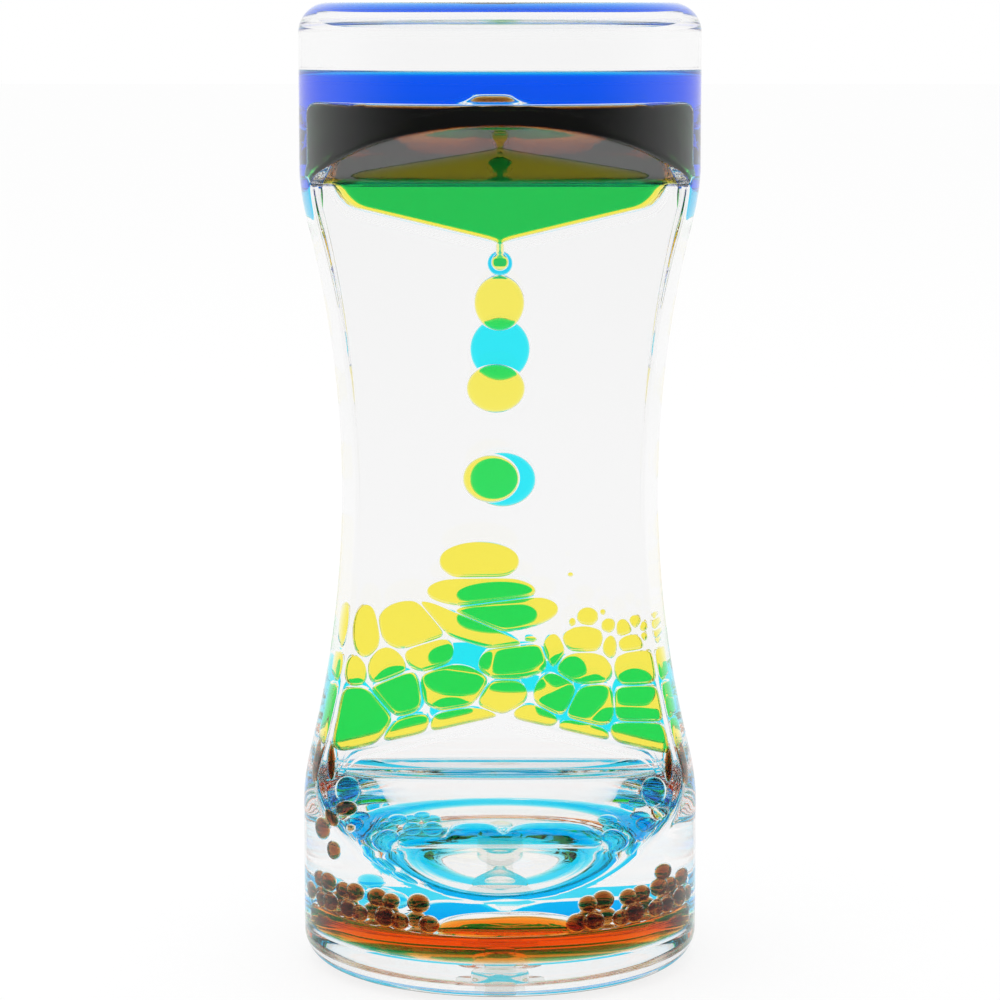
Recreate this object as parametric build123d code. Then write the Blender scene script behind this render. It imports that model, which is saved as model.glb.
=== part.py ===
from build123d import *
from math import atan, cos, pi, sin, sqrt, tan
import os

os.makedirs("parts", exist_ok=True)

# All sizes are in millimetres. The timer stands on z = 0 and its front looks along -Y.

# Clear body: round drums at both ends and a waist with flat front and back faces.
total_height = 140.0
drum_diameter = 58.0
waist_diameter = 46.2
drum_side_length = 27.2  # straight height of a drum at its left and right sides
drum_face_length = 15.6  # height of a drum at its front and back, where the shoulder starts
flat_end_length = 25.6  # height where that shoulder meets the flat face
flat_thickness = 20.0  # across the two flat faces
shoulder_blend = 8.0  # rounding where a drum runs into the waist
flat_blend = 3.0  # rounding where a flat face runs into a shoulder
drum_wall = 2.8
flat_wall = 3.0
shoulder_wall = 3.0
middle_wall = 6.0  # wall between the front and the back cavity
slot_waist_wall = 2.3  # beside the slot at the waist
slot_mouth_wall = 2.8  # beside the slot where the drum starts
overcut = 1.0  # past a face, for cutting shapes
same_place = 0.01  # corners nearer than this to a line lie on it

# End caps and the stoppers of the filling holes in the lower one.
cap_thickness = 5.0
rim_radius = 4.3
plug_diameter = 4.0
plug_head_diameter = 7.0
plug_head_height = 1.6
plug_recess = 0.4
plug_offset = 13.0
plug_clearance = 0.05

# V plates at the ends of the slots.
funnel_inset = 7.6  # point of the V past the straight side of the drum
funnel_side_gap = 4.3  # from the bend of the plate to the side of the slot
funnel_rise = 5.3
funnel_plate = 1.3
lip_rise = 3.6
lip_lean = 1.2
lip_inner_blend = 2.6
drip_diameter = 2.0

# Upper charges of coloured liquid: top level below the end of the timer, and the drop that forms.
yellow_level_depth = 14.7
blue_level_depth = 10.3
yellow_bud_diameter = 2.4
blue_bud_diameter = 3.6
bud_hang = 0.9  # centre of the forming drop below the plate

# Sinking drops: offset in x, share of the fall from the drip hole to the heap, width, share of the fall
# that the drop is tall.
yellow_drops = {
    "upper": (0.0, 0.170, 7.5, 0.196),
    "middle": (-0.5, 0.468, 8.7, 0.172),
    "lower": (-1.2, 0.786, 8.4, 0.170),
}
blue_drops = {
    "upper": (0.0, 0.297, 9.1, 0.193),
    "lower": (0.5, 0.693, 10.0, 0.168),
}
drop_edge = 1.3  # rounding of a drop squeezed between the slot's faces
running_gap = 0.3  # between a sinking drop and what it passes
yellow_travel_share = 0.1058  # of the fall
blue_travel_share = 0.2060

# Heaps of fallen drops on the lower V plates: height over the point of the roof.
yellow_heap_height = 26.0
blue_heap_height = 19.0
heap_top_half_width = 6.5
yellow_heap_side = 16.5
blue_heap_side = 7.0
heap_shoulder_half_width = 11.0
yellow_heap_shoulder = 20.0
blue_heap_shoulder = 13.5
film = 0.36  # clear film between two cells
cell_blend = 0.9

# Cells of the heaps: x, height over the point of the roof, reach.
yellow_cells = [
    (-3.0, 23.2, 5.4),
    (-2.3, 18.2, 7.6),
    (1.5, 14.0, 7.0),
    (-11.6, 15.4, 6.0),
    (-19.2, 13.6, 5.0),
    (-18.4, 7.4, 4.6),
    (-12.4, 8.6, 4.6),
    (-6.0, 11.4, 5.6),
    (-5.0, 5.0, 5.6),
    (12.6, 13.2, 4.6),
    (18.4, 12.2, 5.4),
    (12.4, 7.2, 5.0),
    (6.6, 8.4, 4.6),
    (6.0, 3.4, 4.0),
    (18.6, 5.2, 5.4),
    (-13.6, 2.6, 5.0),
    (13.2, 1.6, 4.6),
]
blue_cells = [
    (-0.4, 16.8, 6.0),
    (-0.2, 12.4, 6.4),
    (-5.4, 6.8, 6.4),
    (2.6, 6.6, 6.2),
    (-6.4, 2.4, 5.2),
    (9.4, 5.2, 5.0),
    (-14.8, 2.4, 5.6),
    (-21.0, -0.6, 5.6),
    (10.6, 0.4, 5.2),
    (20.0, 2.8, 5.4),
    (19.6, -3.0, 6.0),
    (-15.4, -3.0, 5.2),
]

# Liquid that has run through: drops on the side walls, pools on the lower cap, beads on the pools.
pool_depth = 4.2
dome_half_width = 11.0
dome_height = 2.4
bead_diameter = 4.2
bead_pitch = 4.6
bead_wall_gap = 0.3
bead_first_angle = 38.0  # from the front of the drum round to the first bead
bead_end_gap = 1.0  # from the last bead to the middle wall
yellow_runoff_diameter = 3.4
yellow_runoff_left = 5.5  # centre under the mouth of the slot
yellow_runoff_rest = 1.0  # under the right one, over the beads
blue_runoff_diameter = 4.0
blue_runoff_top_gap = 1.0  # from the streak up to the mouth of the slot
blue_runoff_rest = 1.6  # under the streak, over the beads

# Places worked out from the sizes above.
mid_height = total_height / 2
drum_radius = drum_diameter / 2
waist_radius = waist_diameter / 2
flat_y = flat_thickness / 2
tank_radius = drum_radius - drum_wall
slot_outer = flat_y - flat_wall
slot_inner = middle_wall / 2
slot_depth = slot_outer - slot_inner
slot_middle = (slot_outer + slot_inner) / 2
slot_waist_width = waist_diameter - 2 * slot_waist_wall
slot_mouth_width = drum_diameter - 2 * slot_mouth_wall
funnel_depth = drum_side_length + funnel_inset
funnel_half_width = slot_mouth_width / 2 - funnel_side_gap
reach = drum_radius + 2 * overcut
shoulder_slope = (flat_end_length - drum_face_length) / (drum_radius - flat_y)


def outer_shoulder(y):
    """Height of the outer face of a lower shoulder at this distance from the middle plane."""
    return flat_end_length - shoulder_slope * (y - flat_y)


def inner_shoulder(y):
    """Height of the cavity's sloping roof under that shoulder."""
    return outer_shoulder(y) - shoulder_wall * sqrt(1 + shoulder_slope**2)


def flat_shape(points):
    """Closed outline of straight lines as a flat face."""
    return make_face(Polyline(*points, close=True))


def through_front(face, near, far):
    """Prism of an outline in x and z, from y = -near to y = -far."""
    return extrude(Plane.XZ.offset(near) * face, amount=far - near)


def other_end(shape):
    return mirror(shape, about=Plane.XY.offset(mid_height))


def to_back(shape):
    return mirror(shape, about=Plane.XZ)


def upright(points):
    """Outline given for the lower half, completed by its mirror image above the middle."""
    return points + [(a, total_height - z) for a, z in reversed(points)]


# Outer form: a revolved hourglass, cut to the flats and shoulders seen from the side.
low = cap_thickness
high = total_height - cap_thickness
hourglass = make_face(
    [
        Line((0, low), (drum_radius, low)),
        Line((drum_radius, low), (drum_radius, drum_side_length)),
        ThreePointArc(
            (drum_radius, drum_side_length),
            (waist_radius, mid_height),
            (drum_radius, total_height - drum_side_length),
        ),
        Line((drum_radius, total_height - drum_side_length), (drum_radius, high)),
        Line((drum_radius, high), (0, high)),
        Line((0, high), (0, low)),
    ]
)
shoulder_points = hourglass.vertices().filter_by(
    lambda v: v.X > overcut and low + overcut < v.Y < high - overcut
)
hourglass = fillet(shoulder_points, shoulder_blend)
blank = revolve(Plane.XZ * hourglass, axis=Axis.Z)

half_side = upright([(reach, low - overcut), (reach, outer_shoulder(reach)), (flat_y, flat_end_length)])
side_face = flat_shape(half_side + [(-y, z) for y, z in reversed(half_side)])
flat_points = side_face.vertices().filter_by(lambda v: abs(abs(v.X) - flat_y) < same_place)
side_face = fillet(flat_points, flat_blend)
blank = blank & extrude(Plane.YZ * side_face, amount=reach, both=True)

# One cavity: half-round tanks at both ends, joined by the flat slot with its curved sides.
slot_sag = (slot_mouth_width - slot_waist_width) / 2
mouth_tangent = tan(2 * atan(slot_sag / (mid_height - drum_side_length)))
mouth_x = slot_mouth_width / 2
mouth_top = total_height - drum_side_length
slot_low = low - overcut
slot_high = high + overcut
flare_x = mouth_x + mouth_tangent * (drum_side_length - slot_low)
waist_x = slot_waist_width / 2
slot_face = make_face(
    [
        Line((-flare_x, slot_low), (flare_x, slot_low)),
        Line((flare_x, slot_low), (mouth_x, drum_side_length)),
        ThreePointArc((mouth_x, drum_side_length), (waist_x, mid_height), (mouth_x, mouth_top)),
        Line((mouth_x, mouth_top), (flare_x, slot_high)),
        Line((flare_x, slot_high), (-flare_x, slot_high)),
        Line((-flare_x, slot_high), (-mouth_x, mouth_top)),
        ThreePointArc((-mouth_x, mouth_top), (-waist_x, mid_height), (-mouth_x, drum_side_length)),
        Line((-mouth_x, drum_side_length), (-flare_x, slot_low)),
    ]
)
mouth_height = inner_shoulder(slot_outer)
cavity_side = upright(
    [(slot_inner, low), (reach, low), (reach, inner_shoulder(reach)), (slot_outer, mouth_height)]
)
cavity = extrude(Plane.YZ * flat_shape([(-y, z) for y, z in cavity_side]), amount=reach, both=True)
cavity = cavity & Pos(0, 0, mid_height) * Cylinder(tank_radius, high - low)
cavity = cavity & through_front(slot_face, 0, reach)
clear_body = blank - cavity - to_back(cavity)

# Caps, with a stepped filling hole under the middle of each tank and its stopper.
cap_blank = Pos(0, 0, cap_thickness / 2) * Cylinder(drum_radius, cap_thickness)
cap_blank = fillet(cap_blank.edges().group_by(Axis.Z)[0], rim_radius)
top_cap = other_end(cap_blank)
bottom_cap = cap_blank
plugs = []
for side in (-1, 1):
    axis_place = Pos(0, side * plug_offset, 0)
    head_depth = plug_recess + plug_head_height
    hole = Pos(0, 0, cap_thickness / 2) * Cylinder(plug_diameter / 2, cap_thickness)
    bottom_cap = bottom_cap - axis_place * hole
    step = Pos(0, 0, head_depth / 2) * Cylinder(plug_head_diameter / 2, head_depth)
    bottom_cap = bottom_cap - axis_place * step
    stem = Pos(0, 0, (plug_recess + cap_thickness) / 2) * Cylinder(
        plug_diameter / 2 - plug_clearance, cap_thickness - plug_recess
    )
    head = Pos(0, 0, plug_recess + plug_head_height / 2) * Cylinder(
        plug_head_diameter / 2 - plug_clearance, plug_head_height
    )
    plugs.append(axis_place * (stem + head))
front_fill_plug, back_fill_plug = plugs

# V plate with upturned ends and a drip hole, modelled in the front slot at the top.
point_height = total_height - funnel_depth
funnel_slope = funnel_rise / funnel_half_width
plate_drop = funnel_plate * sqrt(1 + funnel_slope**2)
lip_slope = lip_lean / lip_rise
lip_thickness = funnel_plate * sqrt(1 + lip_slope**2)
corner_run = funnel_half_width + lip_thickness - lip_slope * (plate_drop + funnel_rise)
corner_x = corner_run / (1 - lip_slope * funnel_slope)
lip_x = funnel_half_width + lip_lean
lip_height = point_height + funnel_rise + lip_rise
half_funnel = [
    (corner_x, point_height - plate_drop + funnel_slope * corner_x),
    (lip_x + lip_thickness, lip_height),
    (lip_x, lip_height),
    (funnel_half_width, point_height + funnel_rise),
]
funnel_face = flat_shape(
    [(0, point_height - plate_drop)]
    + half_funnel
    + [(0, point_height)]
    + [(-x, z) for x, z in reversed(half_funnel)]
)
inner_bends = funnel_face.vertices().filter_by(lambda v: abs(abs(v.X) - funnel_half_width) < same_place)
funnel_face = fillet(inner_bends, lip_inner_blend)
outer_bends = funnel_face.vertices().filter_by(lambda v: abs(abs(v.X) - corner_x) < same_place)
funnel_face = fillet(outer_bends, lip_inner_blend + funnel_plate)
drip_hole = Pos(0, -slot_middle, point_height) * Cylinder(drip_diameter / 2, 2 * funnel_rise)
front_top_funnel = through_front(funnel_face, slot_inner, slot_outer) - drip_hole
front_bottom_funnel = other_end(front_top_funnel)
back_top_funnel = to_back(front_top_funnel)
back_bottom_funnel = to_back(front_bottom_funnel)
front_funnels = front_top_funnel + front_bottom_funnel


def basin(level):
    """Front cavity from the upper V plate up to this level."""
    sides = [(reach, lip_height), (lip_x, lip_height), (funnel_half_width, point_height + funnel_rise)]
    outline = [(-reach, level), (reach, level)] + sides + [(0, point_height)]
    outline = outline + [(-x, z) for x, z in reversed(sides)]
    return through_front(flat_shape(outline), slot_inner, reach) & cavity


def charge(level_depth, bud_diameter):
    """Liquid still at the top, its neck in the drip hole and the drop that forms under it."""
    bud = Pos(0, -slot_middle, point_height - plate_drop - bud_hang) * Sphere(bud_diameter / 2)
    neck_low = point_height - plate_drop - bud_hang
    neck_length = point_height + funnel_rise / 2 - neck_low
    neck = Pos(0, -slot_middle, neck_low + neck_length / 2) * Cylinder(drip_diameter / 2, neck_length)
    return basin(total_height - level_depth) - front_top_funnel + (bud - front_top_funnel) + neck


yellow_top_charge = charge(yellow_level_depth, yellow_bud_diameter)
blue_charge_front = charge(blue_level_depth, blue_bud_diameter)

# Heaps on the lower V plates: each cell is the part of the slot nearest to its own centre.
roof_height = funnel_depth + plate_drop


def keep_side(points, a, b, limit):
    """Part of an outline where a * x + b * z is at most the limit."""
    kept = []
    for (x1, z1), (x2, z2) in zip(points, points[1:] + points[:1]):
        over1 = a * x1 + b * z1 - limit
        over2 = a * x2 + b * z2 - limit
        if over1 <= 0:
            kept.append((x1, z1))
        if over1 * over2 < 0:
            share = over1 / (over1 - over2)
            kept.append((x1 + share * (x2 - x1), z1 + share * (z2 - z1)))
    return kept


def heap_outline(top, shoulder, side):
    """Space of a heap over the roof, in x and z."""
    half = [
        (reach, roof_height - funnel_rise - lip_rise),
        (reach, roof_height + side),
        (heap_shoulder_half_width, roof_height + shoulder),
        (heap_top_half_width, roof_height + top),
    ]
    under = [(funnel_half_width, roof_height - funnel_rise - plate_drop / 2)]
    right = under + half
    ridge = [(0, roof_height - plate_drop / 2)]
    return through_front(
        flat_shape(ridge + right + [(-x, z) for x, z in reversed(right)]), slot_inner, slot_outer
    )


def heap(cells, space):
    """Flat foam: rounded prisms that fill the heap's space, with a clear film between them."""
    room = (space & cavity) - front_bottom_funnel
    solids = []
    for x, height, radius in cells:
        z = roof_height + height
        outline = [(x + radius * cos(k * pi / 6), z + radius * sin(k * pi / 6)) for k in range(12)]
        for other_x, other_height, _ in cells:
            dx = other_x - x
            dz = other_height - height
            if dx or dz:
                middle = dx * (x + other_x) / 2 + dz * (z + roof_height + other_height) / 2
                outline = keep_side(outline, dx, dz, middle)
        side = 1 if x > 0 else -1
        outline = keep_side(outline, -side * funnel_slope, -1, -roof_height - film / 2)
        shrunk = offset(flat_shape(outline), -film / 2 - cell_blend)
        rounded = offset(shrunk, cell_blend)
        cell = through_front(rounded, slot_inner + film / 2, slot_outer - film / 2) & room
        solids.extend(cell.solids())
    return Compound(solids)


yellow_space = heap_outline(yellow_heap_height, yellow_heap_shoulder, yellow_heap_side)
blue_space = heap_outline(blue_heap_height, blue_heap_shoulder, blue_heap_side)
yellow_heap = heap(yellow_cells, yellow_space)
blue_heap_front = heap(blue_cells, blue_space)

# Sinking drops: flat rounded discs between the faces of the slot, and the way each one has free.
drip_height = point_height - plate_drop


def drop_and_lane(place, heap_height, travel_share):
    """One drop, and the room it needs over its whole travel."""
    x, share, width, height_share = place
    fall = drip_height - roof_height - heap_height
    z = drip_height - share * fall
    height = height_share * fall
    travel = travel_share * fall
    oval = Pos(x, z) * Ellipse(width / 2, height / 2)
    disc = through_front(oval, slot_inner + running_gap, slot_outer - running_gap)
    disc = fillet(disc.edges(), drop_edge)
    wide = Ellipse(width / 2 + running_gap, height / 2 + running_gap)
    lane = Pos(x, z) * wide + Pos(x, z - travel) * wide
    lane = lane + Pos(x, z - travel / 2) * Rectangle(width + 2 * running_gap, travel)
    return disc, through_front(lane, slot_inner, slot_outer)


# Pools on the lower cap, with a flat dome, and beads along the wall of the tank.
pool_level = low + pool_depth
under_pool = Pos(0, 0, pool_level / 2) * Box(2 * reach, 2 * reach, pool_level)
dome_radius = (dome_half_width**2 + dome_height**2) / (2 * dome_height)
dome_y = slot_inner + (tank_radius - slot_inner) / 2
dome = Pos(0, -dome_y, pool_level + dome_height - dome_radius) * Sphere(dome_radius)
dome = dome & Pos(0, 0, pool_level + dome_height / 2) * Box(2 * reach, 2 * reach, dome_height)
dome = dome & cavity
pool = (cavity & under_pool) + dome

bead_radius = bead_diameter / 2
bead_ring = tank_radius - bead_wall_gap - bead_radius
bead_step = bead_pitch / bead_ring
bead_limit = (slot_inner + bead_end_gap + bead_radius) / bead_ring
beads = []
angle = bead_first_angle * pi / 180
while cos(angle) > bead_limit:
    for side in (-1, 1):
        ball = Pos(side * bead_ring * sin(angle), -bead_ring * cos(angle), pool_level) * Sphere(bead_radius)
        beads.extend((ball - under_pool).solids())
    angle = angle + bead_step
beads = Compound(beads)
bead_layer = pool_level + max(dome_height, bead_radius) + film
under_beads = Pos(0, 0, bead_layer / 2) * Box(2 * reach, 2 * reach, bead_layer)


def wall_place(side, radius, height):
    """Place on the side wall of the lower tank at this height."""
    ring = tank_radius - bead_wall_gap - radius
    y = slot_inner + bead_wall_gap + radius
    return Pos(side * sqrt(ring**2 - y**2), -y, height)


run_radius = yellow_runoff_diameter / 2
yellow_runoff = Compound(
    [
        wall_place(-1, run_radius, mouth_height - yellow_runoff_left) * Sphere(run_radius),
        wall_place(1, run_radius, bead_layer + yellow_runoff_rest + run_radius) * Sphere(run_radius),
    ]
)
streak_low = bead_layer + blue_runoff_rest
streak_high = mouth_height - blue_runoff_top_gap
streak_straight = streak_high - streak_low - blue_runoff_diameter
streak = Cylinder(blue_runoff_diameter / 2, streak_straight)
for end in (-1, 1):
    streak = streak + Pos(0, 0, end * streak_straight / 2) * Sphere(blue_runoff_diameter / 2)
streak_middle = (streak_low + streak_high) / 2
blue_runoff_front = Compound(
    [wall_place(side, blue_runoff_diameter / 2, streak_middle) * streak for side in (-1, 1)]
)


def clear_oil(liquid, space, lanes, runoff):
    """What the coloured liquid leaves of the front cavity."""
    oil = cavity - front_funnels - under_beads - space - liquid
    for lane in lanes:
        oil = oil - lane
    for solid in runoff.solids():
        oil = oil - solid
    return Compound(oil.solids())


nodes = {
    "clear_body": clear_body,
    "top_cap": top_cap,
    "bottom_cap": bottom_cap,
    "front_fill_plug": front_fill_plug,
    "back_fill_plug": back_fill_plug,
    "front_top_funnel": front_top_funnel,
    "front_bottom_funnel": front_bottom_funnel,
    "back_top_funnel": back_top_funnel,
    "back_bottom_funnel": back_bottom_funnel,
    "yellow_top_charge": yellow_top_charge,
    "blue_top_charge": to_back(blue_charge_front),
    "yellow_heap": yellow_heap,
    "blue_heap": to_back(blue_heap_front),
    "yellow_pool": pool,
    "blue_pool": to_back(pool),
    "yellow_beads": beads,
    "blue_beads": to_back(beads),
    "yellow_runoff": yellow_runoff,
    "blue_runoff": to_back(blue_runoff_front),
}
yellow_lanes = []
for name, place in yellow_drops.items():
    nodes["yellow_drop_" + name], lane = drop_and_lane(place, yellow_heap_height, yellow_travel_share)
    yellow_lanes.append(lane)
blue_lanes = []
for name, place in blue_drops.items():
    drop, lane = drop_and_lane(place, blue_heap_height, blue_travel_share)
    nodes["blue_drop_" + name] = to_back(drop)
    blue_lanes.append(lane)
nodes["front_clear_oil"] = clear_oil(yellow_top_charge, yellow_space, yellow_lanes, yellow_runoff)
nodes["back_clear_oil"] = to_back(clear_oil(blue_charge_front, blue_space, blue_lanes, blue_runoff_front))

for name, shape in nodes.items():
    export_step(shape, "parts/" + name + ".step")
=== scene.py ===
# %% [markdown]
# This lesson dresses a liquid motion timer: a clear hourglass-shaped block with two flat cells of oil,
# one behind the other, in which yellow and blue drops sink and pile up. The solid model is loaded first as
# a fixed frame, and every new piece is made in the same place as the solid that it stands for.

# %% Load the frame
from math import cos, pi, radians, sin, sqrt

import bmesh
import bpy
from mathutils import Matrix, Vector


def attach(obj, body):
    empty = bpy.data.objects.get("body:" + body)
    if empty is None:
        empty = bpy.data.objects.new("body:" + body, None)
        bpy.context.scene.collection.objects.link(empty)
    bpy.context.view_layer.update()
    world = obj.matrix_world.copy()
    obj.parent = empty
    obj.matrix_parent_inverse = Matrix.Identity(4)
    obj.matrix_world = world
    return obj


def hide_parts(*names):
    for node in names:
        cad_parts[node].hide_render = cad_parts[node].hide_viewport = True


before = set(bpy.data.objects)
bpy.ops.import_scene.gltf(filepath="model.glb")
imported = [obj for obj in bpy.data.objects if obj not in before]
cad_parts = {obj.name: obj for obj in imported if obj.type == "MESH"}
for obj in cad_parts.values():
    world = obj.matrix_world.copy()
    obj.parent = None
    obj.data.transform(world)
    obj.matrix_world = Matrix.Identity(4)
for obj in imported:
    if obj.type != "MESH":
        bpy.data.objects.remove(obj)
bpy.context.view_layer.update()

# %% [markdown]
# Clear plastic on white paper is lit by what stands behind it. Light crosses many surfaces on its way
# through the body, the oil and the coloured drops, so the ray counts are raised, or the inside would turn
# black. The camera is the photographer's: a long lens at the height of the top cap, tipped down a little.

# %% Camera and ray counts
scene = bpy.context.scene
scene.view_settings.view_transform = "Standard"
scene.cycles.max_bounces = 40
scene.cycles.transmission_bounces = 40
scene.cycles.glossy_bounces = 24
scene.cycles.transparent_max_bounces = 32

lens = bpy.data.cameras.new("studio_camera")
lens.sensor_width = 36.0
lens.lens = 129.0
lens.clip_start = 0.01
lens.clip_end = 50.0
camera = bpy.data.objects.new("studio_camera", lens)
camera.location = (0.0, -0.52, 0.1395)
camera.rotation_euler = (radians(90 - 7.85), 0.0, 0.0)
scene.collection.objects.link(camera)
scene.camera = camera
print("camera at", tuple(round(c, 3) for c in camera.location))


# %% [markdown]
# The studio is a white tent. Rays that see it directly or through the clear plastic find plain white. Rays
# that glance off the front of the block find a dimmer room behind the camera, which keeps the dark liquid
# from looking milky.

# %% Studio room
def add(tree, kind, **values):
    """Adds a shader node and fills its inputs by name."""
    node = tree.nodes.new(kind)
    for name, value in values.items():
        if hasattr(node, name):
            setattr(node, name, value)
        else:
            node.inputs[name.replace("_", " ").title()].default_value = value
    return node


front_level = 0.16
front_edge = -0.75
back_edge = 0.35


def mirrored_ray(tree, ray):
    """One for rays that glance off a surface, nothing for rays that pass through one."""
    node = add(tree, "ShaderNodeMath", operation="SUBTRACT", use_clamp=True)
    tree.links.new(ray.outputs["Is Glossy Ray"], node.inputs[0])
    tree.links.new(ray.outputs["Is Transmission Ray"], node.inputs[1])
    return node


def dimmer_in_front(tree, ray, way):
    """Plain white, but for mirrored rays a shade that falls off towards the camera's side."""
    split = add(tree, "ShaderNodeSeparateXYZ")
    tree.links.new(way, split.inputs[0])
    shade = add(tree, "ShaderNodeMapRange", interpolation_type="SMOOTHSTEP")
    shade.inputs["From Min"].default_value = front_edge
    shade.inputs["From Max"].default_value = back_edge
    shade.inputs["To Min"].default_value = front_level
    shade.inputs["To Max"].default_value = 1.0
    tree.links.new(split.outputs["Y"], shade.inputs["Value"])
    level = add(tree, "ShaderNodeMix", data_type="FLOAT")
    level.inputs["A"].default_value = 1.0
    tree.links.new(mirrored_ray(tree, ray).outputs["Value"], level.inputs["Factor"])
    tree.links.new(shade.outputs["Result"], level.inputs["B"])
    return level.outputs["Result"]


room = bpy.data.worlds.new("white_studio")
scene.world = room
room.use_nodes = True
tree = room.node_tree
tree.nodes.clear()
link = tree.links.new
sky = add(tree, "ShaderNodeBackground")
ray = add(tree, "ShaderNodeLightPath")
toward = add(tree, "ShaderNodeTexCoord")
link(dimmer_in_front(tree, ray, toward.outputs["Generated"]), sky.inputs["Strength"])
sky.inputs["Color"].default_value = (1.0, 1.0, 1.0, 1.0)
link(sky.outputs[0], add(tree, "ShaderNodeOutputWorld").inputs["Surface"])
print("studio room:", len(tree.nodes), "nodes")

# %% [markdown]
# The floor is a wide sheet of white paper. Seen by the camera or through the block it is mostly as bright
# as the room, and the rest of its shade comes from the light that reaches it, so it keeps the soft shadow
# of the timer. A wide lamp overhead does most of that. Mirrored in the block, the paper gets dimmer towards
# the camera, like the room.

# %% Paper floor and lamp
paper_glow = 0.82
paper = bpy.data.materials.new("white_paper")
paper.use_nodes = True
tree = paper.node_tree
tree.nodes.clear()
link = tree.links.new
sheet = add(tree, "ShaderNodeBsdfPrincipled", Roughness=0.7)
grain = add(tree, "ShaderNodeTexNoise", Scale=180.0, Detail=3.0)
place = add(tree, "ShaderNodeTexCoord")
tone = add(tree, "ShaderNodeMapRange")
tone.inputs["To Min"].default_value = 0.90
tone.inputs["To Max"].default_value = 0.94
link(place.outputs["Object"], grain.inputs["Vector"])
link(grain.outputs["Fac"], tone.inputs["Value"])
link(tone.outputs["Result"], sheet.inputs["Base Color"])
glow = add(tree, "ShaderNodeEmission")
ray = add(tree, "ShaderNodeLightPath")
away = add(tree, "ShaderNodeVectorMath", operation="NORMALIZE")
link(place.outputs["Object"], away.inputs[0])
link(dimmer_in_front(tree, ray, away.outputs["Vector"]), glow.inputs["Strength"])
seen = add(tree, "ShaderNodeMath", operation="MAXIMUM")
own_glow = add(tree, "ShaderNodeMath", operation="MULTIPLY")
own_glow.inputs[1].default_value = paper_glow
share = add(tree, "ShaderNodeMath", operation="MAXIMUM")
link(ray.outputs["Is Camera Ray"], seen.inputs[0])
link(ray.outputs["Is Transmission Ray"], seen.inputs[1])
link(seen.outputs[0], own_glow.inputs[0])
link(own_glow.outputs[0], share.inputs[0])
link(mirrored_ray(tree, ray).outputs[0], share.inputs[1])
both = add(tree, "ShaderNodeMixShader")
link(share.outputs[0], both.inputs[0])
link(sheet.outputs[0], both.inputs[1])
link(glow.outputs[0], both.inputs[2])
link(both.outputs[0], add(tree, "ShaderNodeOutputMaterial").inputs["Surface"])

floor_mesh = bpy.data.meshes.new("paper_floor")
bm = bmesh.new()
bmesh.ops.create_grid(bm, x_segments=1, y_segments=1, size=6.0)
bm.to_mesh(floor_mesh)
bm.free()
floor = bpy.data.objects.new("paper_floor", floor_mesh)
floor.location.z = -0.0002
floor_mesh.materials.append(paper)
scene.collection.objects.link(floor)

softbox = bpy.data.lights.new("overhead_softbox", "AREA")
softbox.shape = "DISK"
softbox.size = 1.4
softbox.energy = 5.0
lamp = bpy.data.objects.new("overhead_softbox", softbox)
lamp.location = (-0.25, -0.1, 1.3)
lamp.rotation_euler = (Vector((0, 0, 0.07)) - lamp.location).to_track_quat("-Z", "Y").to_euler()
lamp.visible_glossy = False
lamp.visible_transmission = False
scene.collection.objects.link(lamp)
print("floor and lamp ready")

# %% [markdown]
# Moulded acrylic is never perfectly smooth: the mould leaves a very slow ripple, and handling leaves a
# little haze. Both are small effects that several clear parts share, so they are one node group with its
# own inputs, and each material sets how strong they are.

# %% Shared group for moulded surfaces
ripple = bpy.data.node_groups.new("moulded_ripple", "ShaderNodeTree")
for title, kind, value in (("Scale", "NodeSocketFloat", 60.0), ("Haze", "NodeSocketFloat", 0.02)):
    ripple.interface.new_socket(title, in_out="INPUT", socket_type=kind).default_value = value
ripple.interface.new_socket("Height", in_out="OUTPUT", socket_type="NodeSocketFloat")
ripple.interface.new_socket("Roughness", in_out="OUTPUT", socket_type="NodeSocketFloat")
link = ripple.links.new
into = ripple.nodes.new("NodeGroupInput")
out = ripple.nodes.new("NodeGroupOutput")
place = add(ripple, "ShaderNodeTexCoord")
slow = add(ripple, "ShaderNodeTexNoise", Detail=1.0)
fine = add(ripple, "ShaderNodeTexNoise", Scale=900.0, Detail=4.0)
smear = add(ripple, "ShaderNodeMapRange")
smear.inputs["From Min"].default_value = 0.55
smear.inputs["From Max"].default_value = 0.85
haze = add(ripple, "ShaderNodeMath", operation="MULTIPLY")
for noise in (slow, fine):
    link(place.outputs["Object"], noise.inputs["Vector"])
link(into.outputs["Scale"], slow.inputs["Scale"])
link(slow.outputs["Fac"], out.inputs["Height"])
link(fine.outputs["Fac"], smear.inputs["Value"])
link(smear.outputs["Result"], haze.inputs[0])
link(into.outputs["Haze"], haze.inputs[1])
link(haze.outputs[0], out.inputs["Roughness"])
print("group:", ripple.name)


# %% [markdown]
# Light bends where one clear stuff meets another, by the ratio of their indices. Acrylic in air has 1.49.
# The oil was chosen to match the acrylic, so its walls almost vanish, and the dyed water is lower than the
# oil around it. The colour of the water is in its depth: it swallows some light on each millimetre, so a
# thin drop is bright and a deep pool is dark.

# %% Clear and coloured materials
acrylic_in_air = 1.49
oil_in_acrylic = 0.9866
plate_in_oil = 1.0136
stopper_in_acrylic = 1.03
water_in_oil = 0.925


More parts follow.
